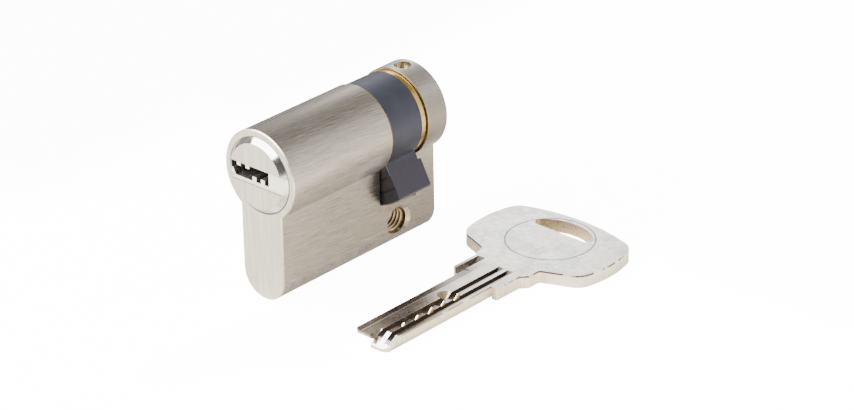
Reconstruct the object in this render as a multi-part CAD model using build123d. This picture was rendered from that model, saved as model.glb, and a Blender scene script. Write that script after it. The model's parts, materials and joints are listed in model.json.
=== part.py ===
from build123d import *
import os
from math import asin, cos, radians, sin, sqrt, tan

# Half euro profile cylinder, 30 mm in front of its fixing screw and 10 mm behind it, with its dimple key.
# Millimetres. The origin is the middle of the fixing-screw hole, +Z is up, the plug turns on a line
# parallel to Y, its key face looks towards -Y, and the screw runs along X.

# Euro profile of the body
BARREL_D = 17.0            # round upper part
FLANGE_W = 10.0            # web below it, with a full-round foot
PROFILE_H = 33.0           # top of the barrel to the foot
FRONT_LEN = 30.0           # screw to the key face
REAR_LEN = 10.0            # screw to the closed end
AXIS_TO_SCREW = 18.9       # plug axis above the screw
RIM_CHAMFER = 0.2          # broken edges of the two end faces

# Slot that the cam turns in, and the screw hole under it
SLOT_W = 9.6
SLOT_DEPTH = 15.3          # plug axis down to the slot's floor
SCREW_D = 5.0              # major diameter of the thread
SCREW_SINK_D = 6.2
SCREW_SINK_DEPTH = 0.6

# Clearances
RUN_GAP = 0.05             # radial, shaft in bore
COLLAR_GAP = 0.08          # radial, plug's collar in its counterbore
SEAT_GAP = 0.02            # radial, pressed or dressed piece in its hole
END_GAP = 0.1              # axial, between pieces that stack along the axis
SHEAR_GAP = 0.05           # pins to the shear line
TONGUE_GAP = 0.1           # tongue in the plug's slot
SLOT_FRONT_GAP = 0.35      # cam's hub to the slot's front wall
RING_GAP = 0.25            # bearing's ring to the slot's back wall
LEVER_TIP_GAP = 0.3        # lever's tip over the slot's floor
JOURNAL_END_GAP = 0.2      # bearing's journal to the closed end
KEY_SIDE_GAP = 0.25        # key's edges in the keyway
KEY_FACE_GAP = 0.2         # key's faces in the keyway
WARD_SIDE_GAP = 0.1        # wards in the key's grooves
WARD_TIP_GAP = 0.1

# Plug
PLUG_D = 13.7
COLLAR_OUT = 0.3           # front collar, which stops the plug in its counterbore
COLLAR_LEN = 1.5
CONE_H = 0.9               # raised cone on the key face
CONE_RUN = 0.95            # the cone narrows by this on each side
PLUG_INTO_SLOT = 2.6       # plug's back end behind the slot's front wall
BAND_DEPTH = 0.35          # shallow recess milled across the face for the key's shoulder
BAND_LOW = -1.9            # its lower and upper edge, from the plug axis
BAND_HIGH = 1.65

# Keyway, its middle measured from the plug axis
KEYWAY_Z = 0.2
KEYWAY_W = 8.8
KEYWAY_H = 2.9
KEYWAY_WALL = 0.88         # plug left beside the keyway on its left
TONGUE_SLOT_DEPTH = 1.1    # the keyway opens into this slot across the plug's back end
WARD_INNER = 0.83          # wards, from the keyway's middle
WARD_OUTER = 2.93
WARD_W = 0.95
WARD_H = 0.9
CORNER_W = 0.6             # slanted lower left corner of the keyway
CORNER_H = 1.3
NOTCH_W = 0.4              # notch beside the keyway's upper left corner
NOTCH_H = 1.6

# Pin stacks, in one row under the keyway
PIN_FROM_TIP = 6.2         # key tip to the first cut
PIN_PITCH = 3.4
CUTS = (0.5, 0.6, 0.85, 0.7, 0.95)    # depths of the key's cuts, tip first
PIN_D = 2.8
PIN_TIP_D = 1.7
PIN_TIP_LEN = 2.4          # slim end of a key pin
PIN_TIP_FLAT_D = 0.5
DRIVER_LEN = 4.5
DRIVER_WAIST_IN = 0.3      # waisted middle of a driver
CHAMBER_STOP_WALL = 0.85   # shoulder that holds the key pins down, under the keyway's floor
CHAMBER_PLUG_OUT = 0.2     # the plugs' holes are wider than the chambers by this, radially
CHAMBER_PLUG_LEN = 2.6
SPRING_IN = 0.15           # coils inside a driver's radius
SPRING_WIRE_D = 0.3
SPRING_TURNS = 4
SPRING_WIRE_SIDES = 4

# Clip behind the slot's front wall
CLIP_GROOVE_DEPTH = 0.65
CLIP_W = 1.3
CLIP_T = 0.7
CLIP_OPEN_DEG = 70

# Cam
HUB_IN = 0.3               # hub inside the barrel's radius
LEVER_ANGLE = 27.8         # lever from straight down, towards +X
LEVER_W = 5.9
LEVER_BACK_GAP = 0.7       # lever's back, behind the hub, to the slot's back wall
LEVER_STEP_OUT = 1.3       # the lever widens to that outside the barrel
LEVER_EDGE = 0.3           # rounding of the lever's tip edges
ARC_STEPS = (10.3, 12.55)  # radii of the two shallow steps on the lever's front
ARC_STEP_DEPTH = 0.12
DRIVE_SLOT_W = 3.1         # the two drive slots in the hub's bore
DRIVE_SLOT_DEPTH = 0.6
CLIP_RECESS_DEPTH = 0.5

# Coupling between plug and cam
TONGUE_W = 9.8
TONGUE_H = 2.9
COUPLING_LEN = 2.7

# Brass bearing behind the cam
RING_IN = 0.4              # ring inside the barrel's radius
RING_T = 1.05
JOURNAL_D = 10.2
END_WALL = 0.8             # closed end of the body
RETAINER_D = 3.2           # pin that holds the journal, in the top hole
RETAINER_BEHIND = 0.3      # it sits this far behind the middle of the journal's bore
RETAINER_SUNK = 1.3        # pin below the barrel's top
GROOVE_DEPTH = 1.2         # journal groove that it runs in

# Key, lying beside the body with its tip towards -Y. Places on it are given as distance to the side
# of its middle line and distance behind its shoulder.
BLADE_LEN = 27.0
BLADE_ROOT = 10.0          # the blade's section is carried this far into the neck
BLADE_CORNER_R = 1.8
TIP_RAMP_LEN = 2.9
TIP_RAMP_END = -0.6        # height where a tip ramp leaves the key, from mid thickness
EDGE_CUT_W = 0.4           # slanted edges, top right and bottom left, for the keyway's slanted corner
EDGE_CUT_H = 1.05
EDGE_CUT_REACH = 5.45      # the upper one goes on level to a wall in the neck
EDGE_CUT_OVER = 0.15       # the lower one ends this far past the blade's edge
EDGE_CUT_END = 7.6
SLOPE_FROM = 2.2           # faint slope between the flat and a slanted edge, from the middle line
SLOPE_H = 0.12             # what it has lost where the lower slanted edge ends
SLOPE_END = 2.2
CUTTER_R = 4.5             # the long cuts run out at this radius
GROOVE_END = 6.7
CUT_FLAT_D = 0.6           # flat at the bottom of a cut
CUT_HALF_ANGLE = 48
WIDE_CUT = (0.05, 19.4)    # lone wide cut, from the middle line and from the tip
WIDE_CUT_D = 3.0
WIDE_CUT_DEPTH = 1.1
WIDE_CUT_FLAT_D = 0.2
NECK_LEFT = ((5.5, 0.0), (5.5, 6.1), (6.7, 7.4), (6.7, 10.2))
NECK_RIGHT = ((6.1, 1.3), (6.1, 7.4), (7.1, 10.6))
SHOULDER_R = 0.5
BOW_CORNER = (13.9, 13.1)  # front corners
BOW_SIDE = (15.05, 21.0)   # widest place of the side arc
BOW_BACK = (13.6, 27.9)    # back corners
BOW_BACK_ARC = (7.5, 29.7)  # a place on the back arc
BOW_LEN = 30.5             # shoulder to the end of the key
BOW_CORNER_R = 3.6
BOW_BACK_R = 3.6
NECK_R = 0.8
EYE_CENTRE = 18.45         # middle of the eye's outer arc, behind the shoulder
EYE_R = 10.0
EYE_CHORD = 5.6            # the eye's straight side, from that middle
EYE_CORNER_R = 1.25
KEY_X = 26.6
KEY_SHOULDER_Y = -3.9

# Places that follow from the sizes above
AXIS_Z = AXIS_TO_SCREW
BARREL_R = BARREL_D / 2
PLUG_R = PLUG_D / 2
COLLAR_R = PLUG_R + COLLAR_OUT
FOOT_Z = AXIS_Z + BARREL_R - PROFILE_H
FACE_Y = -FRONT_LEN
SLOT_FRONT = -SLOT_W / 2
SLOT_BACK = SLOT_W / 2
CONE_Y = FACE_Y - CONE_H
PLUG_END = SLOT_FRONT + PLUG_INTO_SLOT
KEYWAY_X = KEYWAY_W / 2 + KEYWAY_WALL - PLUG_R
KEYWAY_END = PLUG_END - TONGUE_SLOT_DEPTH
BLADE_W = KEYWAY_W - 2 * KEY_SIDE_GAP
KEY_T = KEYWAY_H - 2 * KEY_FACE_GAP
KEY_TIP_Y = CONE_Y + BAND_DEPTH + BLADE_LEN          # tip of the key when it is in
KEY_UNDERSIDE = AXIS_Z + KEYWAY_Z - KEY_T / 2        # and its lower face
PIN_X = 0.0
ROW_FROM_MIDDLE = PIN_X - KEYWAY_X                   # the row of cuts, from the key's middle
SHEAR_Z = AXIS_Z - PLUG_R
CHAMBER_R = PIN_D / 2 + RUN_GAP
CHAMBER_PLUG_R = CHAMBER_R - RUN_GAP + CHAMBER_PLUG_OUT
CHAMBER_STOP = AXIS_Z + KEYWAY_Z - KEYWAY_H / 2 - CHAMBER_STOP_WALL
CLIP_GROOVE_R = PLUG_R - CLIP_GROOVE_DEPTH
CLIP_R = CLIP_GROOVE_R + CLIP_W
RING_BACK = SLOT_BACK - RING_GAP
RING_FRONT = RING_BACK - RING_T
HUB_R = BARREL_R - HUB_IN
HUB_FRONT = SLOT_FRONT + SLOT_FRONT_GAP
HUB_BACK = RING_FRONT - END_GAP
CAM_BORE_R = PLUG_R + RUN_GAP
LEVER_BACK = SLOT_BACK - LEVER_BACK_GAP
LEVER_REACH = SLOT_DEPTH - LEVER_TIP_GAP
COUPLING_FRONT = PLUG_END + END_GAP
COUPLING_BACK = COUPLING_FRONT + COUPLING_LEN
JOURNAL_END = REAR_LEN - END_WALL - JOURNAL_END_GAP
RETAINER_Y = (SLOT_BACK + REAR_LEN - END_WALL) / 2 + RETAINER_BEHIND


def pin_y(number):
    """Place of a pin stack along the plug, counted from the key's tip."""
    return KEY_TIP_Y - PIN_FROM_TIP - number * PIN_PITCH


def slab(sketch, y_low, y_high):
    """A sketch seen from the key face, with the plug axis as its origin, drawn out along Y."""
    front = Plane(origin=(0, y_high, AXIS_Z), x_dir=(1, 0, 0), z_dir=(0, -1, 0))
    return extrude(front * sketch, amount=y_high - y_low)


def disc(radius, y_low, y_high):
    """A cylinder on the plug axis."""
    return slab(Circle(radius), y_low, y_high)


def cross_rod(diameter, x_low, x_high):
    """A cylinder along X, through the origin."""
    return Pos((x_low + x_high) / 2, 0, 0) * Rot(0, 90, 0) * Cylinder(diameter / 2, x_high - x_low)


def post(radius, y, z_low, z_high, x=PIN_X):
    """A cylinder along Z."""
    return Pos(x, y, (z_low + z_high) / 2) * Cylinder(radius, z_high - z_low)


def euro_profile():
    """Outline of the body, about the plug axis."""
    foot = PROFILE_H - BARREL_R - FLANGE_W / 2
    web = Pos(0, -foot / 2) * Rectangle(FLANGE_W, foot)
    return Circle(BARREL_R) + web + Pos(0, -foot) * Circle(FLANGE_W / 2)


def screw_sink(side):
    """Countersink of the screw hole on one flank of the flange."""
    cone = Cone(SCREW_D / 2, SCREW_SINK_D / 2, SCREW_SINK_DEPTH)
    return Pos(side * (FLANGE_W - SCREW_SINK_DEPTH) / 2, 0, 0) * Rot(0, side * 90, 0) * cone


def housing():
    body = slab(euro_profile(), FACE_Y, REAR_LEN)
    ends = body.faces().filter_by(Axis.Y).sort_by(Axis.Y)
    body = chamfer(ends[0].edges() + ends[-1].edges(), RIM_CHAMFER)
    body -= disc(PLUG_R + RUN_GAP, FACE_Y, SLOT_FRONT)
    body -= disc(COLLAR_R + COLLAR_GAP, FACE_Y, FACE_Y + COLLAR_LEN)
    body -= disc(JOURNAL_D / 2 + RUN_GAP, SLOT_BACK, REAR_LEN - END_WALL)
    slot_height = SLOT_DEPTH + BARREL_D
    body -= Pos(0, 0, AXIS_Z - SLOT_DEPTH + slot_height / 2) * Box(2 * BARREL_D, SLOT_W, slot_height)
    body -= cross_rod(SCREW_D, -FLANGE_W, FLANGE_W)
    for side in (-1, 1):
        body -= screw_sink(side)
    body -= post(RETAINER_D / 2, RETAINER_Y, AXIS_Z, AXIS_Z + BARREL_D)
    for number in range(len(CUTS)):
        body -= post(CHAMBER_R, pin_y(number), FOOT_Z, AXIS_Z)
        body -= post(CHAMBER_PLUG_R, pin_y(number), FOOT_Z - 1, FOOT_Z + CHAMBER_PLUG_LEN)
    return body


def chamber_plugs():
    """Brass plugs that close the chambers, dressed flush with the round foot."""
    foot = slab(euro_profile(), FACE_Y, REAR_LEN)
    plug = post(CHAMBER_PLUG_R - SEAT_GAP, pin_y(0), FOOT_Z - 1, FOOT_Z + CHAMBER_PLUG_LEN - SEAT_GAP)
    dressed = plug & foot
    return Compound([Pos(0, -number * PIN_PITCH, 0) * dressed for number in range(len(CUTS))])


def keyway_sketch():
    """Opening of the keyway, with two wards above and two below."""
    opening = Rectangle(KEYWAY_W, KEYWAY_H)
    for sign in (-1, 1):
        for offset in (WARD_INNER, WARD_OUTER):
            ward_z = -sign * (KEYWAY_H - WARD_H) / 2
            opening -= Pos(sign * offset, ward_z) * Rectangle(WARD_W, WARD_H)
    left, low = -KEYWAY_W / 2, -KEYWAY_H / 2
    opening -= make_face(Polyline((left, low + CORNER_H), (left, low), (left + CORNER_W, low), close=True))
    opening += Pos(left, (KEYWAY_H - NOTCH_H) / 2) * Rectangle(2 * NOTCH_W, NOTCH_H)
    return Pos(KEYWAY_X, KEYWAY_Z) * opening


def plug():
    body = disc(PLUG_R, FACE_Y, PLUG_END)
    body += disc(COLLAR_R, FACE_Y, FACE_Y + COLLAR_LEN - END_GAP)
    cone = Cone(COLLAR_R, COLLAR_R - CONE_RUN, CONE_H)
    body += Pos(0, FACE_Y - CONE_H / 2, AXIS_Z) * Rot(90, 0, 0) * cone
    band_middle = (BAND_LOW + BAND_HIGH) / 2
    band = Pos(0, band_middle) * Rectangle(4 * PLUG_R, BAND_HIGH - BAND_LOW)
    body -= slab(band, CONE_Y, CONE_Y + BAND_DEPTH)
    body -= slab(keyway_sketch(), CONE_Y, KEYWAY_END)
    tongue_slot = Rectangle(TONGUE_W + 2 * TONGUE_GAP, TONGUE_H + 2 * TONGUE_GAP)
    body -= slab(tongue_slot, KEYWAY_END, PLUG_END)
    clip_front = SLOT_FRONT + SEAT_GAP
    groove = Circle(4 * PLUG_R) - Circle(CLIP_GROOVE_R)
    body -= slab(groove, clip_front, clip_front + CLIP_T + 2 * SEAT_GAP)
    for number in range(len(CUTS)):
        body -= post(CHAMBER_R, pin_y(number), SHEAR_Z - 1, CHAMBER_STOP)
        body -= post(PIN_TIP_D / 2 + RUN_GAP, pin_y(number), SHEAR_Z, AXIS_Z + KEYWAY_Z)
    return body


def key_pin(number):
    """Lower end coned to stay inside the plug's surface, slim cone-ended tip in the key's cut."""
    low = SHEAR_Z + SHEAR_GAP
    top = KEY_UNDERSIDE + CUTS[number] - SHEAR_GAP
    tip_r, flat_r, body_r = PIN_TIP_D / 2, PIN_TIP_FLAT_D / 2, PIN_D / 2
    cone_h = tip_r - flat_r
    dome = PLUG_R - sqrt(PLUG_R**2 - body_r**2)
    outline = Polyline(
        (0, low), (body_r, low + dome), (body_r, top - PIN_TIP_LEN),
        (tip_r, top - PIN_TIP_LEN), (tip_r, top - cone_h), (flat_r, top), (0, top), close=True,
    )
    turned = revolve(make_face(Plane.XZ * outline), Axis.Z)
    return Pos(PIN_X, pin_y(number), 0) * turned


def driver_pin(number):
    """Driver with a flat top at the shear line and a waist."""
    top = SHEAR_Z - SHEAR_GAP
    body = post(PIN_D / 2, pin_y(number), top - DRIVER_LEN, top)
    rim = DRIVER_LEN / 4
    waist = post(PIN_D, pin_y(number), top - DRIVER_LEN + rim, top - rim)
    waist -= post(PIN_D / 2 - DRIVER_WAIST_IN, pin_y(number), top - DRIVER_LEN + rim, top - rim)
    return body - waist


def spring(number):
    """Compression spring between the driver and its chamber's plug, its thin wire drawn with flats."""
    wire_r = SPRING_WIRE_D / 2
    high = SHEAR_Z - SHEAR_GAP - DRIVER_LEN - wire_r - SEAT_GAP
    low = FOOT_Z + CHAMBER_PLUG_LEN + wire_r + SEAT_GAP
    coil_r = PIN_D / 2 - SPRING_IN - wire_r
    line = Helix(pitch=(high - low) / SPRING_TURNS, height=high - low, radius=coil_r)
    section = (line ^ 0) * RegularPolygon(wire_r, SPRING_WIRE_SIDES)
    return Pos(PIN_X, pin_y(number), low) * sweep(section, path=line, is_frenet=True)


def retaining_clip():
    """Open ring in the plug's groove, against the slot's front wall."""
    ring = Circle(CLIP_R) - Circle(CLIP_GROOVE_R + SEAT_GAP)
    reach = 2 * CLIP_R
    half = radians(CLIP_OPEN_DEG / 2)
    mouth = Polyline(
        (0, 0), (reach * sin(half), reach * cos(half)), (-reach * sin(half), reach * cos(half)), close=True,
    )
    ring -= make_face(mouth)
    front = SLOT_FRONT + 2 * SEAT_GAP
    return slab(ring, front, front + CLIP_T)


def drive_outline(radius, lug_w, lug_r):
    """A disc with two lugs, left and right."""
    return Circle(radius) + Rectangle(2 * lug_r, lug_w) & Circle(lug_r)


def lever_outline():
    """The lever from the plug axis to its round tip, pointing down."""
    blade = Pos(0, -LEVER_REACH / 2) * Rectangle(LEVER_W, LEVER_REACH)
    return Rot(0, 0, LEVER_ANGLE) * (blade & Circle(LEVER_REACH))


def cam():
    hub = disc(HUB_R, HUB_FRONT, HUB_BACK)
    lever = slab(lever_outline(), HUB_FRONT, LEVER_BACK)
    tip_edges = lever.edges().filter_by(GeomType.CIRCLE)
    lever = fillet(tip_edges, LEVER_EDGE)
    lever -= disc(BARREL_R + LEVER_STEP_OUT, HUB_BACK, LEVER_BACK)
    for count, radius in enumerate(ARC_STEPS):
        outside = Circle(2 * LEVER_REACH) - Circle(radius)
        lever -= slab(outside, HUB_FRONT, HUB_FRONT + (count + 1) * ARC_STEP_DEPTH)
    bore = disc(CAM_BORE_R, HUB_FRONT, LEVER_BACK)
    slots = drive_outline(CAM_BORE_R, DRIVE_SLOT_W, CAM_BORE_R + DRIVE_SLOT_DEPTH)
    recess = disc(CLIP_R + END_GAP, HUB_FRONT, HUB_FRONT + CLIP_RECESS_DEPTH)
    return hub + lever - bore - slab(slots, PLUG_END, HUB_BACK) - recess


def coupling_face():
    """Outline that the coupling and the bearing's spigot share inside the cam."""
    radius = CAM_BORE_R - END_GAP
    return drive_outline(radius, DRIVE_SLOT_W - END_GAP, radius + DRIVE_SLOT_DEPTH)


def coupling():
    body = slab(coupling_face(), COUPLING_FRONT, COUPLING_BACK)
    return body + slab(Rectangle(TONGUE_W, TONGUE_H), KEYWAY_END + END_GAP, COUPLING_FRONT)


def rear_bearing():
    """Turned brass piece: spigot in the cam, thrust ring, and a grooved journal in the body's end."""
    body = slab(coupling_face(), COUPLING_BACK + END_GAP, RING_FRONT)
    body += disc(BARREL_R - RING_IN, RING_FRONT, RING_BACK)
    body += disc(JOURNAL_D / 2, RING_BACK, JOURNAL_END)
    half = RETAINER_D / 2 + END_GAP
    groove = Circle(JOURNAL_D) - Circle(JOURNAL_D / 2 - GROOVE_DEPTH)
    return body - slab(groove, RETAINER_Y - half, RETAINER_Y + half)


def retaining_pin():
    """Brass pin in the top hole, its end in the journal's groove."""
    low = AXIS_Z + JOURNAL_D / 2 - GROOVE_DEPTH + END_GAP
    high = AXIS_Z + BARREL_R - RETAINER_SUNK
    return post(RETAINER_D / 2 - SEAT_GAP, RETAINER_Y, low, high, x=0)


def bow_half(neck):
    """Right half of the neck and bow, from the shoulder backwards."""
    side = [(x, -behind) for x, behind in (*neck, BOW_CORNER)]
    front = Polyline((0, side[0][1]), *side)
    around = (BOW_CORNER, BOW_SIDE, BOW_BACK, BOW_BACK_ARC)
    corner, widest, back, arc = [(x, -behind) for x, behind in around]
    end = (0, -BOW_LEN)
    round_bow = [ThreePointArc(corner, widest, back), ThreePointArc(back, arc, end)]
    return make_face([front, *round_bow, Line(end, front @ 0)])


def key_outline():
    """Blade, neck and bow with its eye, seen from above with the tip away."""
    length = BLADE_LEN + BLADE_ROOT
    blade = Pos(0, BLADE_LEN - length / 2) * Rectangle(BLADE_W, length)
    flat = mirror(bow_half(NECK_LEFT), Plane.YZ) + bow_half(NECK_RIGHT) + blade

    def corners(x, behind):
        return [v for v in flat.vertices() if abs(v.X - x) < 0.01 and abs(v.Y + behind) < 0.01]

    for place, radius in ((BOW_CORNER, BOW_CORNER_R), (BOW_BACK, BOW_BACK_R)):
        for sign in (-1, 1):
            flat = fillet(corners(sign * place[0], place[1]), radius)
    for sign, neck in ((-1, NECK_LEFT), (1, NECK_RIGHT)):
        flat = fillet(corners(sign * neck[0][0], neck[0][1]), SHOULDER_R)
        flat = fillet(corners(sign * neck[-1][0], neck[-1][1]), NECK_R)
    for sign in (-1, 1):
        flat = fillet(corners(sign * BLADE_W / 2, -BLADE_LEN), BLADE_CORNER_R)
    return flat - eye_outline()


def eye_outline():
    """The bow's eye: a disc cut off by a chord, with round corners."""
    eye = Circle(EYE_R) & Pos(0, -EYE_CHORD - EYE_R) * Rectangle(3 * EYE_R, 2 * EYE_R)
    return Pos(0, -EYE_CENTRE) * fillet(eye.vertices(), EYE_CORNER_R)


def side_cut(bottom, end, half_width):
    """What a round cutter takes off the key's top face, from the tip to where it leaves the metal."""
    top = KEY_T / 2
    depth = top - bottom
    run = sqrt(2 * CUTTER_R * depth - depth**2)
    half_turn = asin(run / CUTTER_R) / 2
    low_end = run - end
    middle = (low_end - CUTTER_R * sin(half_turn), bottom + CUTTER_R * (1 - cos(half_turn)))
    far = BLADE_LEN + 1
    path = Polyline((low_end, bottom), (far, bottom), (far, top + 1), (-end, top + 1), (-end, top))
    rise = ThreePointArc((low_end, bottom), middle, (-end, top))
    side_view = Plane(origin=(-half_width, 0, 0), x_dir=(0, 1, 0), z_dir=(1, 0, 0))
    return extrude(side_view * make_face([path, rise]), amount=2 * half_width)


def half_turned(shape):
    """The same cut on the other face: the blade is the same after half a turn about its length."""
    return [shape, Rot(0, 180, 0) * shape]


def along_blade(corners, low, end):
    """A long cut with the given lower outline across the blade, run out at its end."""
    top = KEY_T / 2
    inner, outer = corners[0][0], corners[-1][0]
    section = make_face(Polyline(*corners, (outer, top + 1), (inner, top + 1), close=True))
    cut = extrude(Plane.XZ * section, amount=BLADE_LEN + BLADE_ROOT, both=True)
    return cut & side_cut(low, end, 2 * outer)


def edge_cuts(reach):
    """The faint slope and the slanted edge on the blade's top right, the edge out to the given reach."""
    top = KEY_T / 2
    edge = BLADE_W / 2
    low = top - EDGE_CUT_H
    slanted = along_blade([(edge - EDGE_CUT_W, top), (edge, low), (reach, low)], low, EDGE_CUT_END)
    low = top - SLOPE_H
    slope = along_blade([(SLOPE_FROM, top), (edge + EDGE_CUT_OVER, low)], low, SLOPE_END)
    return [slanted, slope]


def key_cuts():
    """Everything that is milled off the key."""
    top = KEY_T / 2
    groove_w = WARD_W + 2 * WARD_SIDE_GAP
    groove_bottom = KEYWAY_H / 2 - WARD_H - WARD_TIP_GAP
    cuts = edge_cuts(EDGE_CUT_REACH)
    cuts += [Rot(0, 180, 0) * cut for cut in edge_cuts(BLADE_W / 2 + EDGE_CUT_OVER)]
    for offset in (WARD_INNER, WARD_OUTER):
        groove = side_cut(groove_bottom, GROOVE_END, groove_w / 2)
        cuts += half_turned(Pos(-offset, 0, 0) * groove)
    ramp = Polyline(
        (BLADE_LEN, TIP_RAMP_END), (BLADE_LEN - TIP_RAMP_LEN, top), (BLADE_LEN - TIP_RAMP_LEN, top + 1),
        (BLADE_LEN + 1, top + 1), (BLADE_LEN + 1, TIP_RAMP_END), close=True,
    )
    side_view = Plane(origin=(-BLADE_W, 0, 0), x_dir=(0, 1, 0), z_dir=(1, 0, 0))
    cuts += half_turned(extrude(side_view * make_face(ramp), amount=BLADE_W))
    for number, depth in enumerate(CUTS):
        spread = depth * tan(radians(CUT_HALF_ANGLE))
        dimple = Cone(CUT_FLAT_D / 2, CUT_FLAT_D / 2 + spread, depth)
        place = BLADE_LEN - PIN_FROM_TIP - number * PIN_PITCH
        cuts += half_turned(Pos(-ROW_FROM_MIDDLE, place, top - depth / 2) * dimple)
    wide = Cone(WIDE_CUT_FLAT_D / 2, WIDE_CUT_D / 2, WIDE_CUT_DEPTH)
    cuts += half_turned(Pos(-WIDE_CUT[0], BLADE_LEN - WIDE_CUT[1], top - WIDE_CUT_DEPTH / 2) * wide)
    return cuts


def key():
    """Drawn as it goes into the keyway, tip towards +Y, then turned round and laid beside the body."""
    body = extrude(Plane.XY.offset(-KEY_T / 2) * key_outline(), amount=KEY_T)
    for cut in key_cuts():
        body -= cut
    return Pos(KEY_X, KEY_SHOULDER_Y, FOOT_Z + KEY_T / 2) * Rot(0, 0, 180) * body


def pieces():
    """Every piece of the object, by name."""
    yield "housing", housing()
    yield "chamber_plugs", chamber_plugs()
    yield "plug", plug()
    yield "retaining_clip", retaining_clip()
    yield "cam", cam()
    yield "coupling", coupling()
    yield "rear_bearing", rear_bearing()
    yield "retaining_pin", retaining_pin()
    yield "key", key()
    for number in range(len(CUTS)):
        yield f"key_pin_{number + 1}", key_pin(number)
        yield f"driver_pin_{number + 1}", driver_pin(number)
        yield f"spring_{number + 1}", spring(number)


os.makedirs("parts", exist_ok=True)
for name, solid in pieces():
    solid.label = name
    export_step(solid, f"parts/{name}.step")
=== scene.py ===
import bpy
import json
from math import acos, atan2, hypot, pi, radians
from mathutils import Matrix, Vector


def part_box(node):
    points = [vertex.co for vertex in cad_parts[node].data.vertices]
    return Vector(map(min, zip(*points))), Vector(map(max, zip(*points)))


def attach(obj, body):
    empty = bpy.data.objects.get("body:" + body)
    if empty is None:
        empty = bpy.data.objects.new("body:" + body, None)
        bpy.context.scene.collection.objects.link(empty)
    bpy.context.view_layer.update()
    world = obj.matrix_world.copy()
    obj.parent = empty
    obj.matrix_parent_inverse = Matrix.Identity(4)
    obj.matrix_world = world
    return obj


# Half euro cylinder and its dimple key: finishes, the screw hole's thread and a small studio.
# Lengths are millimetres in the CAD's frame; MM turns them into Blender's metres.
MM = 0.001

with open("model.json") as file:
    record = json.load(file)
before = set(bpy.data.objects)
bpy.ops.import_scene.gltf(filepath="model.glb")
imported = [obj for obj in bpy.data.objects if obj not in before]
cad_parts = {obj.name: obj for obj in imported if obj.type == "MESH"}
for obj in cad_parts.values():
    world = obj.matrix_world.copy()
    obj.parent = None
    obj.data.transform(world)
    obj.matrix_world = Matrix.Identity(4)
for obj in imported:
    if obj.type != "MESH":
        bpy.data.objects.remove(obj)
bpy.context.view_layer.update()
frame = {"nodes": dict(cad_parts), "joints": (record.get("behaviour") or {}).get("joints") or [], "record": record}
nodes = frame["nodes"]
joints = {joint["name"]: joint for joint in frame["joints"]}
mounts = {mount["name"]: mount for mount in frame["record"]["mounts"]}


def corners(node):
    """Lowest and highest corner of a CAD node."""
    return [[one / MM for one in corner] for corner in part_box(node)]


# Cylinder: origin in the screw hole, plug's axis along Y with the key face at -Y, Z up
AXIS_Z = joints["plug_turn"]["pos_m"][2] / MM
(_, FACE_Y, _), (_, END_Y, _) = corners("housing")  # key face and closed end
SLOT_HALF = 4.8             # half the cam slot's width
BARREL_R = 8.5
BARREL_FOOT_Z = 12.03       # where the barrel meets the flange
FLANGE_HALF = mounts["flange_side_right"]["pos_m"][0] / MM
FLANGE_FOOT_Z = -0.6        # middle of the flange's round foot
SCREW_R = mounts["fixing_screw"]["dims"]["r_mm"]
SINK_R = 3.2                # countersink of the screw hole
SINK_X = 4.3                # how deep it goes
TOP_HOLE_Y = 7.3            # the retaining pin's hole
TOP_HOLE_R = 1.7
GAP_R = 7.27                # gap between plug and body on the key face

# Plug, from its front backwards
PLUG_FACE_Y = -30.85
BAND_STEP_Y = -30.5
BAND_Y = -30.4              # milled band across the face
BAND_Z = 18.8               # its middle, and half its height
BAND_HALF = 1.7
CONE_FOOT_Y = -29.95
CONE_R = 6.0
KEYWAY_SEEN_Y = -18.0       # how far in the keyway's walls are seen

# Cam
(_, HUB_FRONT_Y, _), _ = corners("cam")
LEVER_STEPS = (10.3, 12.55)  # radii of the steps in its front face
LEVER_END = 15.0

# Key, lying along Y with its tip at -Y; its underside is its upper side turned over
KEY_X = 26.6                # its middle line
(_, KEY_TIP_Y, KEY_FOOT), (_, _, KEY_TOP) = corners("key")
KEY_MID = (KEY_TOP + KEY_FOOT) / 2
KEY_SHOULDER_Y = -3.9
BOW_RING = (26.86, 17.1)    # engraved ring on the bow
BOW_RING_R = 8.34
EYE_HALF = 10.6             # half the eye's width, and where it lies along the key
EYE_Y = (19.2, 26.0)
TIP_LENGTH = 2.95           # ramps of the tip
FIRST_CUT = 6.2             # from the tip
CUT_PITCH = 3.4
WIDE_CUT = 19.4             # from the tip
CUT_R = 1.6                 # no cut reaches further, goes deeper or has a larger flat than these
CUT_DEPTH = 1.2
CUT_FLAT_R = 0.45
CUT_LEAN = (0.70, 0.82)     # how level a cut's cone is; 1 is level
GROOVES_WITHIN = 9.0        # from the shoulder; past RUN_OUT_FROM lies their darker run-out
RUN_OUT_FROM = 3.5
NOTCH_WITHIN = 7.7          # from the shoulder; past NOTCH_DARK it is as dark as a groove
NOTCH_DARK = 5.0
NOTCH_DEPTH = 1.1           # it goes no deeper

# Across the key, from its middle line; a worn edge with a painted highlight has half its width beside it
CUTS = [(1.57, KEY_TIP_Y + FIRST_CUT + CUT_PITCH * n) for n in range(5)] + [(0.05, KEY_TIP_Y + WIDE_CUT)]
GROOVES = (0.83, 2.93)
GROOVE_HALF = 0.62
NECK_NOTCH = (-5.6, -4.0)
BEVEL = -2.2
# The arrises' worn edges also carry painted highlights.
ARRISES = [(BEVEL, 0.20), (0.20, 0.14), (1.46, 0.08), (2.30, 0.08), (3.56, 0.10)]  # worn edges

# Which of a piece's finishes a face gets
SIDES, ENDS, SINK, SLOT_WALL, BORES, SCREW_HOLE, TOP_HOLE = range(7)
PLUG_FACE, CONE, BAND, KEYWAY, PLUG_INSIDE, BAND_STEP = range(6)
STOCK, CUT, GROOVE, TIP, NOTCH, RUN_OUT = range(6)


# Wiring of shaders

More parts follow.
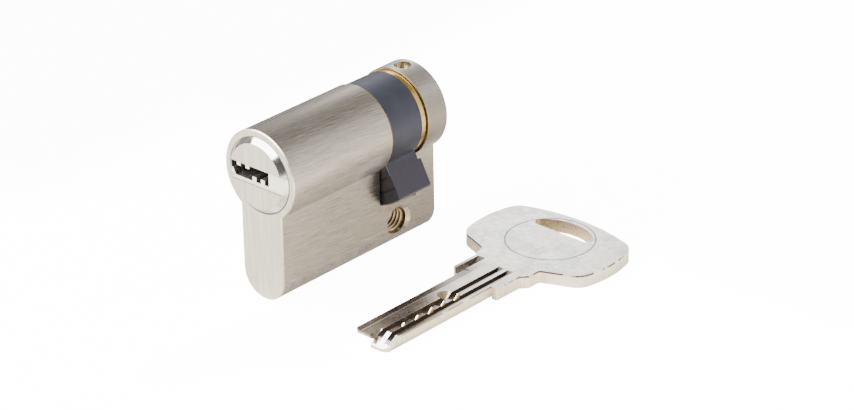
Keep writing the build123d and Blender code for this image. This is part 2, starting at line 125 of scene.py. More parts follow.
class Wiring:
    """A node tree; most methods add a node and give back its output. Lengths are millimetres."""

    def __init__(self, tree):
        self.tree = tree

    def add(self, kind):
        return self.tree.nodes.new(kind)

    def feed(self, socket, value):
        """A number, a colour or another node's output goes into a socket."""
        if isinstance(value, bpy.types.NodeSocket):
            self.tree.links.new(value, socket)
        elif socket.type == "RGBA":
            socket.default_value = (*value, 1)
        else:
            socket.default_value = value

    def place(self):
        """Where a point lies on the piece."""
        scaled = self.add("ShaderNodeVectorMath")
        scaled.operation = "SCALE"
        self.feed(scaled.inputs[0], self.add("ShaderNodeTexCoord").outputs["Object"])
        scaled.inputs["Scale"].default_value = 1 / MM
        return scaled.outputs[0]

    def facing(self):
        """Which way the surface looks, in the piece's own frame."""
        return self.add("ShaderNodeTexCoord").outputs["Normal"]

    def split(self, vector):
        """X, Y and Z of a vector."""
        node = self.add("ShaderNodeSeparateXYZ")
        self.feed(node.inputs[0], vector)
        return node.outputs

    def maths(self, operation, *values):
        node = self.add("ShaderNodeMath")
        node.operation = operation
        for socket, value in zip(node.inputs, values):
            self.feed(socket, value)
        return node.outputs[0]

    def times(self, product, *others):
        for other in others:
            product = self.maths("MULTIPLY", product, other)
        return product

    def plus(self, total, *others):
        for other in others:
            total = self.maths("ADD", total, other)
        return total

    def less(self, value, other):
        return self.maths("SUBTRACT", value, other)

    def inverse(self, value):
        return self.less(1.0, value)

    def distance(self, across, along):
        return self.maths("SQRT", self.plus(self.times(across, across), self.times(along, along)))

    def span(self, value, low, high, to_low=0.0, to_high=1.0):
        """Takes low..high to to_low..to_high, smoothly and no further; low may be the larger."""
        node = self.add("ShaderNodeMapRange")
        node.interpolation_type = "SMOOTHSTEP"
        for socket, number in zip(node.inputs, (value, low, high, to_low, to_high)):
            self.feed(socket, number)
        return node.outputs[0]

    def window(self, value, rise, fall):
        """1 in the middle and 0 at both ends; rise and fall each go from 0 to 1."""
        return self.times(self.span(value, *rise), self.span(value, *fall))

    def line(self, value, middle, wide, core):
        """1 within core of the middle, 0 beyond wide."""
        return self.span(self.maths("ABSOLUTE", self.less(value, middle)), wide, core)

    def mix(self, factor, first, second):
        """A colour between two."""
        node = self.add("ShaderNodeMix")
        node.data_type = "RGBA"
        self.feed(node.inputs["Factor"], factor)
        self.feed(node.inputs[6], first)
        self.feed(node.inputs[7], second)
        return node.outputs[2]

    def lay(self, under, colour, share, *masks):
        """A colour laid over another where all the masks are, share being the most of it."""
        return self.mix(self.times(*masks, share), under, colour)

    def turned(self, where, angle):
        node = self.add("ShaderNodeMapping")
        node.inputs["Rotation"].default_value = angle
        self.feed(node.inputs["Vector"], where)
        return node.outputs[0]

    def grain(self, where, size, detail, rough):
        """Cloudy noise; its size is one number, or one for each axis."""
        scaled = self.add("ShaderNodeMapping")
        sizes = size if isinstance(size, tuple) else (size,) * 3
        scaled.inputs["Scale"].default_value = [1 / one for one in sizes]
        self.feed(scaled.inputs["Vector"], where)
        noise = self.add("ShaderNodeTexNoise")
        noise.inputs["Scale"].default_value = 1.0
        noise.inputs["Detail"].default_value = detail
        noise.inputs["Roughness"].default_value = rough
        self.feed(noise.inputs["Vector"], scaled.outputs[0])
        return noise.outputs["Fac"]

    def relief(self, height, depth, strength, under=None):
        """Bump of a height from 0 to 1, on top of another one if that is given."""
        bump = self.add("ShaderNodeBump")
        bump.inputs["Strength"].default_value = strength
        bump.inputs["Distance"].default_value = depth * MM
        self.feed(bump.inputs["Height"], height)
        if under is not None:
            self.feed(bump.inputs["Normal"], under)
        return bump.outputs[0]


class Look(Wiring):
    """A material that is being mixed, in the piece's own coordinates."""

    def __init__(self, name):
        self.material = bpy.data.materials.new(name)
        self.material.use_nodes = True
        super().__init__(self.material.node_tree)
        self.shader = self.tree.nodes["Principled BSDF"]
        self.spot = self.place()

    def sheen(self, noise, low, high):
        """Roughness that follows a noise."""
        return self.span(noise, 0.3, 0.7, low, high)

    def stretch_shine(self, amount, drawn=None):
        """Highlights drawn out across the brushing: round the plug's axis, or along a line."""
        self.shader.inputs["Anisotropic"].default_value = amount
        if drawn is None:
            tangent = self.add("ShaderNodeTangent")
            tangent.direction_type = "RADIAL"
            tangent.axis = "Y"
        else:
            tangent = self.add("ShaderNodeVectorTransform")
            tangent.vector_type = "VECTOR"
            tangent.convert_from = "OBJECT"
            tangent.convert_to = "WORLD"
            tangent.inputs[0].default_value = drawn
        self.feed(self.shader.inputs["Tangent"], tangent.outputs[0])

    def done(self, colour, rough, bump, metallic=1.0):
        """Wires the shader and gives back the material."""
        self.feed(self.shader.inputs["Base Color"], colour)
        self.feed(self.shader.inputs["Roughness"], rough)
        self.feed(self.shader.inputs["Normal"], bump)
        self.shader.inputs["Metallic"].default_value = metallic
        return self.material


def from_axis(look, x, z):
    """How far a point is from the plug's axis."""
    return look.distance(x, look.less(z, AXIS_Z))


def girth(look):
    """A flat map of the body's outside: how far round it, how far along it."""
    x, y, z = look.split(look.spot)
    barrel = look.times(look.maths("ARCTAN2", x, look.less(z, AXIS_Z)), BARREL_R)
    flank = look.less(look.times(x, 3.0), z)    # x only sets the two flanks apart
    low = look.maths("LESS_THAN", z, BARREL_FOOT_Z)
    flat = look.add("ShaderNodeCombineXYZ")
    look.feed(flat.inputs[0], look.plus(look.times(barrel, look.inverse(low)), look.times(flank, low)))
    look.feed(flat.inputs[1], y)
    return flat.outputs[0]


def key_across(look, x, z):
    """How far a point lies from the key's middle line, the underside turned over."""
    under = look.maths("LESS_THAN", z, KEY_MID)
    return look.times(look.less(x, KEY_X), look.inverse(look.times(under, 2.0)))


# Finishes of the cylinder

def brushed_nickel_sides():
    """Belt-brushed a little askew along the body, with scratches, pits and brass at the slot, and patches of
    painted light and shade.
    """
    look = Look("brushed_nickel_sides")
    around = girth(look)
    belt, wander, askew = [look.turned(around, (0, 0, radians(turn))) for turn in (5.5, 4, 12)]
    fine = look.grain(belt, (0.09, 4.5, 1.0), 3.0, 0.7)
    broad = look.grain(wander, (0.30, 9.0, 1.0), 2.0, 0.5)
    cross = look.grain(askew, (0.11, 3.0, 1.0), 2.0, 0.5)
    cloud = look.grain(look.spot, (5.0, 9.0, 5.0), 2.0, 0.5)
    pits = look.span(look.grain(look.spot, 0.45, 1.0, 0.5), 0.80, 0.86)
    streak = look.plus(look.times(fine, 0.72), look.times(broad, 0.28))
    metal = look.mix(look.span(streak, 0.38, 0.62), (0.415, 0.370, 0.312), (0.690, 0.630, 0.545))
    metal = look.lay(metal, (0.50, 0.430, 0.350), 0.22, look.span(cloud, 0.35, 0.65))
    metal = look.lay(metal, (0.80, 0.74, 0.65), 0.3, look.span(cross, 0.62, 0.69))
    metal = look.lay(metal, (0.16, 0.14, 0.12), 0.6, pits)

    _, y, z = look.split(look.spot)
    # Painted light and shade: the stub's top is painted lighter and its side darker, as the light falls on them.
    stub = look.span(y, 4.4, 5.2)
    painted_lit_crown = look.span(z, 22.5, 26.0)
    painted_shade_cheek = look.window(z, (12.2, 14.5), (25.0, 21.5))
    metal = look.lay(metal, (0.92, 0.87, 0.82), 0.45, stub, painted_lit_crown)
    metal = look.lay(metal, (0.28, 0.25, 0.22), 0.80, stub, painted_shade_cheek)
    # Painted light: a lighter patch on the barrel beside the lever, easing the shade there.
    painted_light_by_lever = look.window(y, (-15.0, -10.0), (-5.0, -8.0)), look.window(z, (12.0, 13.5), (18.0, 15.5))
    metal = look.lay(metal, (0.92, 0.89, 0.88), 0.65, *painted_light_by_lever)
    # Painted shade: the flank behind the screw hole is painted darker.
    painted_shade_by_screw = look.span(y, 1.0, 8.0), look.span(z, 14.0, 8.0)
    metal = look.lay(metal, (0.36, 0.325, 0.275), 0.35, *painted_shade_by_screw)
    past_slot = look.less(look.maths("ABSOLUTE", y), SLOT_HALF)
    rim = look.window(past_slot, (-0.04, -0.01), (0.20, 0.12)), look.span(z, 7.0, 11.0)
    metal = look.lay(metal, (0.80, 0.58, 0.22), 0.85, *rim)

    bump = look.relief(look.inverse(pits), 0.05, 0.6, look.relief(streak, 0.010, 0.5))
    look.stretch_shine(0.75)
    return look.done(metal, look.sheen(fine, 0.26, 0.40), bump)


def brushed_nickel_ends(name, tone, rough=0.32, drawn=(1, 0, 0), amount=0.6, gap=False):
    """End faces and the plug's face, brushed up and down; painted shade can lie in the gap round it."""
    look = Look(name)
    fine = look.grain(look.spot, (0.09, 0.5, 6.0), 3.0, 0.6)
    broad = look.grain(look.turned(look.spot, (0, radians(2), 0)), (0.5, 2.0, 16.0), 3.0, 0.6)
    streak = look.plus(look.times(fine, 0.55), look.times(broad, 0.45))
    low, high = [(one, one * 0.93, one * 0.735) for one in tone]
    metal = look.mix(look.span(streak, 0.38, 0.62), low, high)
    if gap:
        x, y, z = look.split(look.spot)
        # Painted shade: a dark line in the gap round the plug, strongest towards the lower right where shade
        # falls.
        painted_gap_shade = look.line(from_axis(look, x, z), GAP_R, 0.17, 0.07)
        lower_right = look.times(look.span(x, -4.0, 3.0, 0.22), look.span(z, 25.0, 20.0, 0.22))
        front = look.span(y, -28.0, -29.5)
        metal = look.lay(metal, (0.06, 0.05, 0.04), 0.9, painted_gap_shade, lower_right, front)
    look.stretch_shine(amount, drawn)
    return look.done(metal, look.sheen(fine, rough * 0.8, rough * 1.2), look.relief(streak, 0.006, 0.4))


def turned_nickel(name, rough, tone):
    """Lathe-turned and plated, with rings too fine to count."""
    look = Look(name)
    cloud = look.grain(look.spot, 0.9, 3.0, 0.6)
    fine = look.grain(look.spot, 0.06, 2.0, 0.5)
    low, high = [(one, one * 0.955, one * 0.90) for one in tone]
    metal = look.mix(look.span(cloud, 0.35, 0.65), low, high)
    return look.done(metal, look.sheen(cloud, rough * 0.75, rough * 1.25), look.relief(fine, 0.004, 0.3))


def cut_brass(name="cut_brass", low=(0.60, 0.46, 0.26), high=(0.80, 0.66, 0.42), rough=0.30):
    """Bare brass as the tool left it: darker in its marks."""
    look = Look(name)
    marks = look.grain(look.spot, (0.35, 0.12, 0.35), 3.0, 0.6)
    metal = look.mix(look.span(marks, 0.33, 0.67), low, high)
    return look.done(metal, look.sheen(marks, rough * 0.7, rough * 1.3), look.relief(marks, 0.01, 0.4))


def thread_brass():
    """Brass ridges, bright at the crest and painted dark towards the root, as shade falls between them."""
    look = Look("thread_brass")
    _, y, z = look.split(look.spot)
    # Painted shade: darker from the crest down to the root.
    crest_to_root_shade = look.span(look.distance(y, z), SCREW_R - 0.08, SCREW_R - 0.34)
    marks = look.grain(look.spot, 0.3, 2.0, 0.5)
    metal = look.mix(crest_to_root_shade, (0.16, 0.10, 0.05), (0.92, 0.72, 0.42))
    metal = look.lay(metal, (0.52, 0.38, 0.20), 0.25, look.span(marks, 0.4, 0.7))
    return look.done(metal, look.sheen(marks, 0.26, 0.36), look.relief(marks, 0.004, 0.3))


def bright_steel(name, tone, rough):
    """Drawn or ground steel, barely blue."""
    look = Look(name)
    marks = look.grain(look.spot, (0.25, 0.25, 0.08), 3.0, 0.6)
    low, high = [(one, one, one * 1.01) for one in tone]
    metal = look.mix(look.span(marks, 0.35, 0.65), low, high)
    return look.done(metal, look.sheen(marks, rough * 0.75, rough * 1.25), look.relief(marks, 0.006, 0.4))


def oiled_sintered_steel():
    """Blue-black with a fine open grain; the lever is more violet, its front face painted darker as shade."""
    look = Look("oiled_sintered_steel")
    x, y, z = look.split(look.spot)
    out = from_axis(look, x, z)
    facing_y = look.split(look.facing())[1]
    pores = look.grain(look.spot, 0.16, 2.0, 0.6)
    cloud = look.grain(look.spot, 5.0, 2.0, 0.5)
    lever = look.span(out, 8.3, 9.5)
    # Painted shade: the lever's front face is painted darker.
    shaded_lever_front = look.times(look.span(facing_y, -0.55, -0.85), lever)
    blue = look.mix(look.span(cloud, 0.3, 0.7), (0.068, 0.070, 0.092), (0.084, 0.086, 0.110))
    blue = look.mix(lever, blue, (0.076, 0.068, 0.090))
    blue = look.mix(shaded_lever_front, blue, (0.035, 0.032, 0.041))
    # Painted shade: dark lines along the steps in the lever's front face.
    for step in LEVER_STEPS:
        line = look.times(look.line(out, step, 0.22, 0.08), shaded_lever_front)
        blue = look.mix(line, blue, (0.012, 0.011, 0.013))
    blue = look.lay(blue, (0.05, 0.05, 0.06), 0.35, look.span(pores, 0.58, 0.72))

    # Wear and painted highlight: a paler line along the front arris, in patches.
    side = look.inverse(look.span(facing_y, -0.4, -0.8))
    arris = look.span(y, HUB_FRONT_Y + 0.16, HUB_FRONT_Y + 0.06)
    wear_and_highlight = look.span(look.grain(look.spot, 1.2, 2.0, 0.6), 0.35, 0.50)
    blue = look.lay(blue, (0.34, 0.32, 0.34), 0.7, side, arris, wear_and_highlight)
    # Painted highlight: a light line round the end of the lever.
    blue = look.lay(blue, (0.26, 0.22, 0.22), 0.6, look.span(out, LEVER_END - 0.28, LEVER_END - 0.16))
    return look.done(blue, look.sheen(pores, 0.42, 0.56), look.relief(pores, 0.010, 0.4), 0.7)


# Finishes of the key

def bow_flats(look, cloud, fine):
    """Clouded plating with warm and cool fields, mottled by handling."""
    angles = (0.4, 0.2, 0.3), (0.9, 0.5, 0.1), (0.2, 0.1, 0.7)
    warm, cool, spots = [look.turned(look.spot, angle) for angle in angles]
    mottle = look.grain(spots, (0.7, 1.2, 0.7), 4.0, 0.75)
    top = look.mix(look.span(cloud, 0.34, 0.66), (0.64, 0.625, 0.595), (0.92, 0.905, 0.88))
    top = look.lay(top, (0.84, 0.76, 0.62), 0.65, look.span(look.grain(warm, 6.0, 2.0, 0.5), 0.40, 0.62))
    top = look.lay(top, (0.46, 0.47, 0.49), 0.55, look.span(look.grain(cool, 4.5, 3.0, 0.6), 0.50, 0.62))
    top = look.lay(top, (0.40, 0.38, 0.36), 0.40, look.span(fine, 0.50, 0.72))
    top = look.lay(top, (0.46, 0.43, 0.39), 0.40, look.span(mottle, 0.50, 0.60))
    return look.lay(top, (1.0, 0.985, 0.96), 0.6, look.span(mottle, 0.47, 0.38))


def blade_flats(look, top, y, across, blade):
    """Hairlines along the blade, a bevel painted dark, worn arrises with painted highlights, a painted reflection
    near the tip and painted shade on the lips beside the grooves.
    """
    hair = look.grain(look.spot, (0.07, 6.0, 0.4), 2.0, 0.5)
    stripe = look.grain(look.spot, (0.5, 14.0, 2.0), 2.0, 0.5)
    top = look.lay(top, (0.70, 0.635, 0.555), 0.85, blade)
    top = look.lay(top, (0.92, 0.88, 0.82), 0.5, blade, look.span(hair, 0.52, 0.68))
    top = look.lay(top, (0.44, 0.38, 0.32), 0.5, blade, look.span(stripe, 0.50, 0.66))
    # Painted shade: the outer bevel is painted dark, as its slope turns from the light.
    top = look.lay(top, (0.215, 0.185, 0.16), 0.88, blade, look.span(across, BEVEL + 0.1, BEVEL - 0.1))
    # Painted reflection: brown on the flat near the tip, where the body is mirrored.
    painted_reflection_by_tip = look.span(y, -12.0, -18.0), look.span(across, 1.6, 1.3)
    top = look.lay(top, (0.30, 0.255, 0.22), 0.35, *painted_reflection_by_tip)
    # Wear and painted highlight: light lines along the arrises towards the tip.
    for arris, wide in ARRISES:
        wear_and_highlight = look.times(look.line(across, arris, wide, wide * 0.4), blade, look.span(y, -9.0, -14.0))
        top = look.mix(wear_and_highlight, top, (1.0, 0.97, 0.92))
    shade = look.line(across, BEVEL, 0.12, 0.05), look.window(y, (-14.0, -11.0), (-1.5, -1.8))
    top = look.lay(top, (0.22, 0.20, 0.18), 0.8, *shade)
    # Painted shade: dark strips on the lips beside the grooves, widening the grooves' shade.
    for middle in GROOVES:
        painted_lip_shade = look.window(across, (middle + 0.50, middle + 0.58), (middle + 0.90, middle + 0.78))
        top = look.lay(top, (0.24, 0.20, 0.165), 0.68, painted_lip_shade, look.span(y, 3.5, 3.1))
    return top


def key_edges(look, fine, blade):
    """Sheared edges, warmer than the flats, with painted shade just under the top and a gilt eye."""
    x, y, z = look.split(look.spot)
    shear = look.grain(look.spot, (0.22, 0.22, 3.0), 3.0, 0.6)
    edge = look.mix(look.span(shear, 0.35, 0.65), (0.78, 0.68, 0.51), (0.95, 0.87, 0.70))
    # Painted shade, in patches: a dark band just under the top of the edges.
    painted_shade_under_top = look.span(z, KEY_TOP - 0.46, KEY_TOP - 0.30)
    patchy = look.span(look.grain(look.spot, 3.0, 2.0, 0.6), 0.40, 0.50)
    edge = look.lay(edge, (0.05, 0.04, 0.032), 0.95, painted_shade_under_top, patchy)
    edge = look.lay(edge, (0.66, 0.56, 0.38), 0.35, blade)
    gilt = look.mix(look.span(fine, 0.35, 0.65), (0.56, 0.44, 0.26), (0.80, 0.68, 0.46))
    left, right = KEY_X - EYE_HALF, KEY_X + EYE_HALF
    front, back = EYE_Y
    in_eye = (look.window(x, (left, left + 1.0), (right, right - 1.0)),
              look.window(y, (front, front + 0.6), (back, back - 0.8)))
    return look.lay(edge, gilt, 0.85, *in_eye)


def key_nickel():
    """Plated key stock: flats of bow and blade, edges, and the ring engraved on the bow, painted dark with its
    shade.
    """
    look = Look("key_nickel")
    x, y, z = look.split(look.spot)
    flat = look.span(look.maths("ABSOLUTE", look.split(look.facing())[2]), 0.35, 0.75)
    blade = look.span(y, KEY_SHOULDER_Y + 8.0, KEY_SHOULDER_Y + 1.0)
    cloud = look.grain(look.spot, 3.5, 4.0, 0.6)
    fine = look.grain(look.spot, 0.30, 2.0, 0.6)
    top = blade_flats(look, bow_flats(look, cloud, fine), y, key_across(look, x, z), blade)
    metal = look.mix(flat, key_edges(look, fine, blade), top)
    out = look.distance(look.less(x, BOW_RING[0]), look.less(y, BOW_RING[1]))
    # Painted shade: the engraved ring is painted dark; its hollow is only a bump.
    ring = look.times(look.line(out, BOW_RING_R, 0.17, 0.08), flat)
    metal = look.lay(metal, (0.17, 0.155, 0.14), 0.85, ring)

    rough = look.plus(look.sheen(cloud, 0.18, 0.26), look.times(blade, 0.05),
                      look.times(look.inverse(flat), 0.12))
    nicks = look.span(look.grain(look.spot, 1.1, 1.0, 0.5), 0.78, 0.86)
    bump = look.relief(look.inverse(nicks), 0.04, 0.4, look.relief(fine, 0.004, 0.3))
    return look.done(metal, rough, look.relief(look.inverse(ring), 0.05, 0.4, bump))


def key_tip():
    """The tip's ramps: polished between the grooves, with the grooves' painted shade carried across them."""
    look = Look("key_tip")
    x, _, z = look.split(look.spot)
    across = key_across(look, x, z)
    fine = look.grain(look.spot, 0.25, 2.0, 0.5)
    metal = look.mix(look.span(fine, 0.35, 0.65), (0.86, 0.84, 0.80), (0.96, 0.95, 0.93))
    # Painted shade: the grooves' lines across the ramps are painted dark.
    for middle in GROOVES:
        groove = look.line(across, middle, GROOVE_HALF, GROOVE_HALF - 0.1)
        metal = look.lay(metal, (0.10, 0.085, 0.07), 0.85, groove)
    metal = look.lay(metal, (0.20, 0.175, 0.15), 0.92, look.span(across, 3.45, 3.65))
    metal = look.lay(metal, (0.42, 0.39, 0.35), 0.5, look.window(across, (-0.1, 0.2), (1.5, 1.3)))
    return look.done(metal, look.sheen(fine, 0.14, 0.22), look.relief(fine, 0.004, 0.3))


# Which faces get which finish

def paint(node, finishes, choose):
    """Gives a piece its finishes; choose tells a face's one from its middle and normal."""
    mesh = nodes[node].data
    mesh.materials.clear()
    for one in finishes:
        mesh.materials.append(one)
    for face in mesh.polygons:
        middle = [c / MM for c in face.center]
        face.material_index = choose(middle, face.normal)


def only(node, material):
    """Gives a piece one finish all over."""
    paint(node, [material], lambda middle, normal: 0)


# The small number beside a size is what its test leaves a face's middle to spare

def housing_face(middle, normal):
    x, y, z = middle
    out = hypot(x, z - AXIS_Z)
    end = y < FACE_Y + 0.25 or y > END_Y - 0.25
    if end and abs(normal.y) > 0.5:
        return ENDS
    barrel = out > BARREL_R - 0.15 and abs(normal.y) < 0.5
    flank = abs(x) > FLANGE_HALF - 0.02 and abs(normal.x) > 0.9
    round_foot = z < 0 and hypot(x, z - FLANGE_FOOT_Z) > FLANGE_HALF - 0.1
    if barrel or flank or round_foot and abs(normal.y) < 0.5:
        return SIDES
    if hypot(y, z) < SINK_R and abs(x) > SINK_X and abs(normal.x) > 0.2:
        return SINK
    if hypot(y, z) < SCREW_R + 0.1:
        return SCREW_HOLE
    if hypot(x, y - TOP_HOLE_Y) < TOP_HOLE_R and z > AXIS_Z:
        return TOP_HOLE
    return SLOT_WALL if abs(y) < SLOT_HALF + 0.1 else BORES


def plug_face(middle, normal):
    x, y, z = middle
    to_front = normal.y < -0.9
    if y < PLUG_FACE_Y and to_front:
        return PLUG_FACE
    if y < CONE_FOOT_Y and hypot(x, z - AXIS_Z) > CONE_R and abs(normal.y) > 0.3:
        return CONE
    if y < BAND_Y and to_front:
        return BAND
    if y < BAND_STEP_Y and abs(normal.z) > 0.9 and abs(z - BAND_Z) > BAND_HALF:
        return BAND_STEP
    return KEYWAY if y < KEYWAY_SEEN_Y else PLUG_INSIDE


def key_face(middle, normal):
    x, y, z = middle
    lean = abs(normal.z)
    side = 1 if z > KEY_MID else -1
    depth = KEY_TOP - z if z > KEY_MID else z - KEY_FOOT
    across = side * (x - KEY_X)
    past_shoulder = y - KEY_SHOULDER_Y
    for cut_across, cut_y in CUTS:
        out = hypot(across - cut_across, y - cut_y)
        cone = CUT_LEAN[0] < lean < CUT_LEAN[1] or lean > 0.99 and out < CUT_FLAT_R
        if out < CUT_R and 0.02 < depth < CUT_DEPTH and cone:
            return CUT
    neck = NECK_NOTCH[0] < across < NECK_NOTCH[1] and 0 < past_shoulder < NOTCH_WITHIN
    if neck and 0.05 < depth < NOTCH_DEPTH and normal.x * side > -0.5:
        return GROOVE if past_shoulder > NOTCH_DARK else NOTCH
    if depth > 0.03 and past_shoulder < GROOVES_WITHIN and y > KEY_TIP_Y + 0.1:
        if any(abs(across - groove) < GROOVE_HALF for groove in GROOVES):
            return RUN_OUT if past_shoulder > RUN_OUT_FROM else GROOVE
    if y < KEY_TIP_Y + TIP_LENGTH and 0.3 < lean < 0.98 and depth > 0.01:
        return TIP
    return STOCK


def dress_cad():
    """Gives every piece of the CAD its finishes."""
    brass = cut_brass()
    # Painted shade: the bores, the cam slot and the screw hole's wall are brass painted darker, as shade falls
    # inside them.
    bores = cut_brass("shaded_bore_brass", (0.10, 0.08, 0.055), (0.26, 0.20, 0.13), 0.5)
    wall = cut_brass("shaded_slot_wall", (0.24, 0.19, 0.13), (0.36, 0.29, 0.20), 0.38)
    root = cut_brass("shaded_thread_root", (0.12, 0.08, 0.045), (0.24, 0.165, 0.09), 0.45)
    hole = cut_brass("top_hole_brass", (0.36, 0.32, 0.24), (0.60, 0.55, 0.44), 0.30)
    ends = brushed_nickel_ends("brushed_nickel_ends", (0.58, 0.80), gap=True)
    sink = cut_brass("countersink_edge", (0.88, 0.81, 0.60), (1.0, 0.93, 0.72), 0.32)
    sides = brushed_nickel_sides()
    paint("housing", [sides, ends, sink, wall, bores, root, hole], housing_face)

    face = brushed_nickel_ends("brushed_plug_face", (0.58, 0.80))
    cone = turned_nickel("polished_cone", 0.10, (0.60, 0.72))
    band = brushed_nickel_ends("milled_band", (0.93, 0.985), 0.42, (0, 0, 1), 0.8)
    # Painted shade: the band's step and the keyway's walls are painted dark, as shade falls in them.
    step = turned_nickel("shaded_band_step", 0.35, (0.08, 0.14))
    keyway = cut_brass("shaded_keyway_wall", (0.07, 0.07, 0.075), (0.42, 0.40, 0.37), 0.45)
    paint("plug", [face, cone, band, keyway, brass, step], plug_face)

    only("cam", oiled_sintered_steel())
    only("rear_bearing", cut_brass("turned_brass", (0.66, 0.44, 0.10), (0.82, 0.60, 0.20), 0.22))
    only("retaining_pin", cut_brass("pin_brass", (0.45, 0.38, 0.24), (0.74, 0.64, 0.44), 0.28))
    only("chamber_plugs", cut_brass("dressed_brass", (0.62, 0.46, 0.20), (0.82, 0.64, 0.34), 0.24))
    only("coupling", bright_steel("coupling_steel", (0.42, 0.55), 0.32))
    only("retaining_clip", bright_steel("spring_clip_steel", (0.22, 0.34), 0.30))
    pin = cut_brass("key_pin_brass", (0.66, 0.50, 0.24), (0.88, 0.70, 0.40), 0.18)
    driver = bright_steel("driver_steel", (0.55, 0.70), 0.20)
    wire = bright_steel("spring_wire", (0.45, 0.62), 0.25)
    for number in range(1, 6):
        only(f"key_pin_{number}", pin)
        only(f"driver_pin_{number}", driver)
        only(f"spring_{number}", wire)

    # Painted shade: the grooves and their run-out are painted dark and the neck notch darker than the stock, as
    # shade falls in them.
    groove = cut_brass("shaded_key_groove", (0.21, 0.175, 0.145), (0.30, 0.25, 0.21), 0.40)
    notch = cut_brass("shaded_neck_notch", (0.39, 0.35, 0.32), (0.60, 0.55, 0.50), 0.34)
    tip = key_tip()
    run_out = cut_brass("shaded_run_out", (0.06, 0.05, 0.042), (0.14, 0.115, 0.097), 0.34)
    cuts = cut_brass("key_cut_brass", (0.72, 0.55, 0.28), (0.95, 0.80, 0.50), 0.20)
    paint("key", [key_nickel(), cuts, groove, tip, notch, run_out], key_face)


# New pieces

THREAD_PITCH = 0.8
THREAD_DEPTH = 0.45
THREAD_SUNK = 0.03          # how far the ridge's foot reaches into the bore's wall
THREAD_HALF_LENGTH = 4.35
THREAD_TURNS = 10
THREAD_ROOT = 0.1           # flat left between two ridges
THREAD_STEPS = 40           # round one turn
HALF_SIDE = 0.866           # half a side of a triangle whose corners lie 1 from its middle


def fixing_screw_thread():
    """Ridges of the M5 thread, wound along the fixing-screw hole from a triangle."""
    corner_r = THREAD_DEPTH * 2 / 3
    start = (-THREAD_HALF_LENGTH * MM, 0, (SCREW_R + THREAD_SUNK - THREAD_DEPTH / 3) * MM)
    wide = (THREAD_PITCH - THREAD_ROOT) / (corner_r * 2 * HALF_SIDE)
    bpy.ops.object.select_all(action="DESELECT")
    bpy.ops.mesh.primitive_circle_add(vertices=3, radius=corner_r * MM, fill_type="NGON",
                                      location=start, rotation=(-pi / 2, 0, 0))
    ridge = bpy.context.object
    ridge.name = "fixing_screw_thread"
    bpy.ops.object.transform_apply(location=True, rotation=True, scale=True)
    bpy.ops.object.mode_set(mode="EDIT")
    bpy.ops.mesh.select_all(action="SELECT")
    bpy.ops.transform.resize(value=(wide, 1, 1), center_override=start)
    bpy.ops.object.mode_set(mode="OBJECT")
    bpy.context.scene.cursor.location = (0, 0, 0)
    bpy.ops.object.origin_set(type="ORIGIN_CURSOR")
    wind = ridge.modifiers.new("wind", "SCREW")
    wind.axis = "X"
    wind.angle = 2 * pi
    wind.screw_offset = THREAD_PITCH * MM
    wind.iterations = THREAD_TURNS
    wind.steps = wind.render_steps = THREAD_STEPS
    bpy.ops.object.modifier_apply(modifier="wind")
    bpy.ops.object.mode_set(mode="EDIT")
    bpy.ops.mesh.select_all(action="SELECT")
    bpy.ops.mesh.remove_doubles(threshold=0.001 * MM)
    bpy.ops.mesh.select_all(action="DESELECT")
    bpy.ops.mesh.select_non_manifold()
    bpy.ops.mesh.fill_holes(sides=4)
    bpy.ops.mesh.select_all(action="SELECT")
    bpy.ops.mesh.normals_make_consistent(inside=False)
    bpy.ops.object.mode_set(mode="OBJECT")
    bpy.ops.object.shade_smooth_by_angle(angle=radians(30))
    ridge.data.materials.append(thread_brass())
    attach(ridge, "body")


# Stage

CAMERA_AT = (0.36334166, -0.38131486, 0.26250722)
CAMERA_TURN = (1.110621702, 0.017183767, 0.735820247)
CAMERA_LENS = 134.8946
CAMERA_SENSOR = 36
FLOOR_SIZE = 6              # metres
FLOOR_SEEN = 13.0           # how bright the camera sees the floor, and the wall behind it
WALL_SEEN = 15.0
FLOOR_GLOW = 0.35           # how much the floor itself lights the pieces

# Soft-edged rectangles on the floor: left, right, near, far, softness
GREY_CARDS = (-160, -62, 28, 150, 18), (-900, -74, -20, 700, 22)
BROWN_CARDS = (7, 17, -60, 60, 7), (7, 34, 20, 60, 10)
LIGHT_TABLE = (30, 120, -40, 24, 8)
NEAR_LIGHT_TABLE = (25, 80, -110, -60, 20)

# Round cards on the studio's wall: direction, degrees where gone and where full, brightness
ROOM_LIGHT = (0.55, 0.55, 0.555)
WALL_CARDS = (
    ((0.0, 0.60, 0.80), 40, 26, 0.36),
    ((0.70, 0.63, 0.30), 32, 18, 1.2),
    ((0.76, 0.65, 0.00), 16, 8, 1.9),
    ((0.47, -0.78, 0.30), 20, 12, 0.20),
    ((-0.60, -0.17, 0.78), 17, 10, 9.0),
)

# Lamps: direction, distance, width and height in metres, radiance
SOFTBOXES = (
    ((-0.308, -0.725, 0.616), 0.8, 1.04, 0.55, 15),
    ((-0.15, 0.200, 0.125), 0.280, 0.085, 0.10, 2.9),
)


def patch(look, x, y, left, right, near, far, soft):
    """1 on a soft-edged rectangle on the floor."""
    return look.times(look.span(x, left - soft, left), look.span(x, right + soft, right),
                      look.span(y, near - soft, near), look.span(y, far + soft, far))


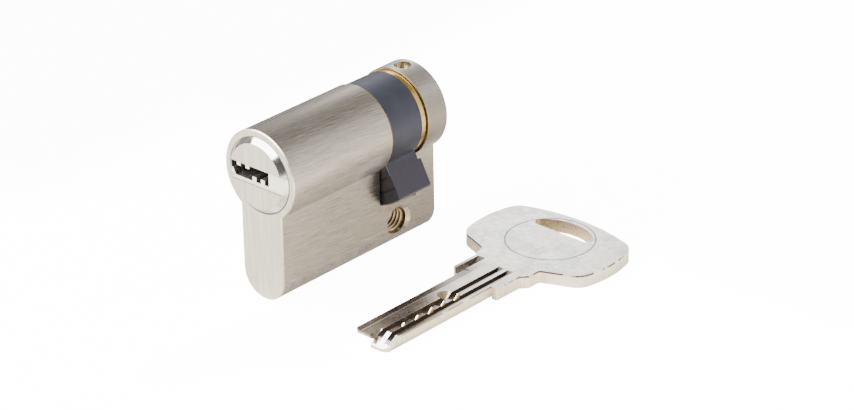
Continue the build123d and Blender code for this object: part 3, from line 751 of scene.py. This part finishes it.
def floor():
    """A white sweep that the camera sees brighter than it lights the pieces."""
    bpy.ops.object.select_all(action="DESELECT")
    bpy.ops.mesh.primitive_plane_add(size=FLOOR_SIZE, location=(0, 0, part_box("key")[0][2]))
    table = bpy.context.object
    table.name = "floor"
    look = Look("white_sweep")
    x, y, _ = look.split(look.spot)
    seen = look.add("ShaderNodeLightPath").outputs["Is Camera Ray"]
    grey = look.maths("MAXIMUM", *[patch(look, x, y, *one) for one in GREY_CARDS])
    brown = look.maths("MAXIMUM", *[patch(look, x, y, *one) for one in BROWN_CARDS])
    tone = look.mix(look.grain(look.spot, 40.0, 2.0, 0.5), (0.79, 0.78, 0.77), (0.81, 0.80, 0.79))
    tone = look.mix(look.span(x, 0.0, 14.0), tone, (0.80, 0.755, 0.67))
    tone = look.lay(tone, (0.42, 0.34, 0.24), 0.5, brown)
    glow = look.plus(look.times(patch(look, x, y, *LIGHT_TABLE), 0.8),
                     look.times(patch(look, x, y, *NEAR_LIGHT_TABLE), 2.5),
                     look.times(look.inverse(grey), FLOOR_GLOW))
    look.feed(look.shader.inputs["Base Color"], look.mix(grey, tone, (0.12, 0.12, 0.12)))
    look.feed(look.shader.inputs["Emission Strength"], look.plus(look.times(seen, FLOOR_SEEN), glow))
    look.feed(look.shader.inputs["Emission Color"], (1, 1, 1))
    look.shader.inputs["Roughness"].default_value = 0.95
    look.shader.inputs["Specular IOR Level"].default_value = 0.0
    table.data.materials.append(look.material)


def camera():
    """The photograph's own viewpoint, as fitted to it."""
    bpy.ops.object.camera_add(location=CAMERA_AT, rotation=CAMERA_TURN)
    lens = bpy.context.object.data
    lens.lens = CAMERA_LENS
    lens.sensor_width = CAMERA_SENSOR
    lens.clip_start = 0.01
    bpy.context.scene.camera = bpy.context.object


def card(sky, light, towards, wide, narrow, level):
    """A round card on the studio's wall: full inside narrow degrees, gone at wide."""
    size = hypot(*towards)
    dot = sky.add("ShaderNodeVectorMath")
    dot.operation = "DOT_PRODUCT"
    dot.inputs[1].default_value = [one / size for one in towards]
    sky.feed(dot.inputs[0], sky.add("ShaderNodeTexCoord").outputs["Generated"])
    angle = sky.maths("ARCCOSINE", dot.outputs["Value"])
    inside = sky.span(angle, radians(wide), radians(narrow))
    return sky.mix(inside, light, (level, level, level * 0.985))


def softbox(towards, far, wide, high, radiance):
    """A rectangular lamp that faces the origin, out of the camera's sight."""
    size = hypot(*towards)
    x, y, z = [one / size * far for one in towards]
    bpy.ops.object.light_add(type="AREA", location=(x, y, z),
                             rotation=(acos(z / far), 0, atan2(y, x) + pi / 2))
    bpy.context.object.visible_camera = False
    lamp = bpy.context.object.data
    lamp.shape = "RECTANGLE"
    lamp.size = wide
    lamp.size_y = high
    lamp.energy = radiance * pi * wide * high


def studio():
    """Even light from all sides with cards in it, a white wall for the camera, and the lamps."""
    world = bpy.data.worlds.new("studio")
    world.use_nodes = True
    bpy.context.scene.world = world
    sky = Wiring(world.node_tree)
    light = ROOM_LIGHT
    for one in WALL_CARDS:
        light = card(sky, light, *one)
    seen = sky.add("ShaderNodeLightPath").outputs["Is Camera Ray"]
    background = sky.tree.nodes["Background"]
    sky.feed(background.inputs["Color"], sky.mix(seen, light, (WALL_SEEN,) * 3))
    background.inputs["Strength"].default_value = 1.0
    for one in SOFTBOXES:
        softbox(*one)


dress_cad()
fixing_screw_thread()
floor()
camera()
studio()
